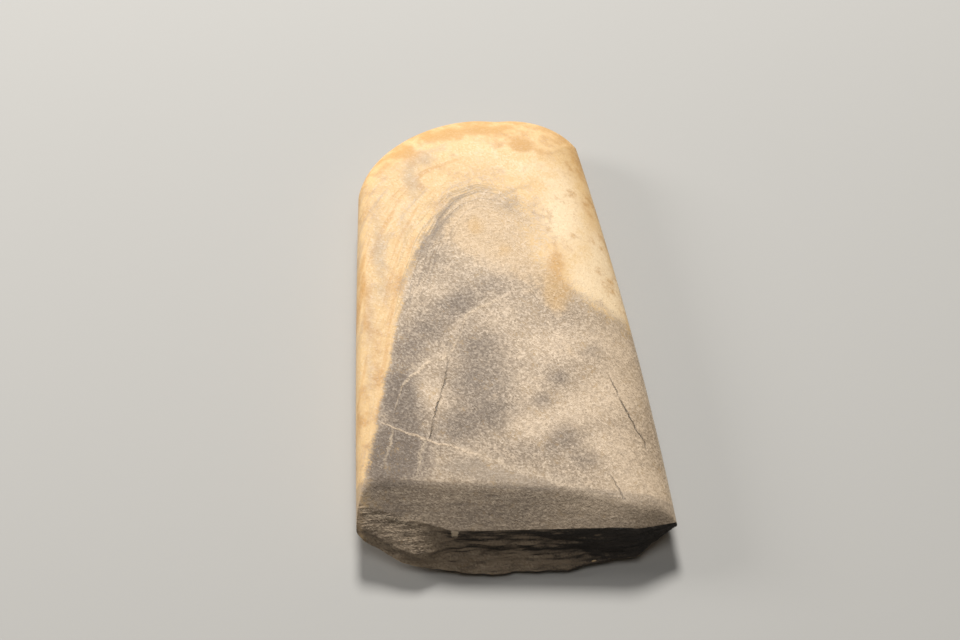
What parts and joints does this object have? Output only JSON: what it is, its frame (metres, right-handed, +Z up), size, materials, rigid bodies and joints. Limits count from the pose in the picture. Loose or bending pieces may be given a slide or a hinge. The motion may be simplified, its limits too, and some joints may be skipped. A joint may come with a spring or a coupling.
{
  "type": "stone adze",
  "caption": "Ground stone adze blade with a rounded poll, a thick left side and a thinner right side, a worn bevel and a broken cutting edge that leaves a face of ledges.",
  "frame": {"origin": "middle of the blade's plan, on the surface that its belly rests on", "axes": "+Y from the broken edge to the rounded poll, +Z up out of the bevelled upper face, +X to the right when the edge faces the viewer"},
  "size_m": [0.063, 0.1162, 0.0133],
  "materials": {
    "ground_stone": "ground smooth, matte, cream to grey with a darker broken edge"
  },
  "bodies": {
    "root": {"adze_blade": "ground_stone"}
  },
  "joints": []
}
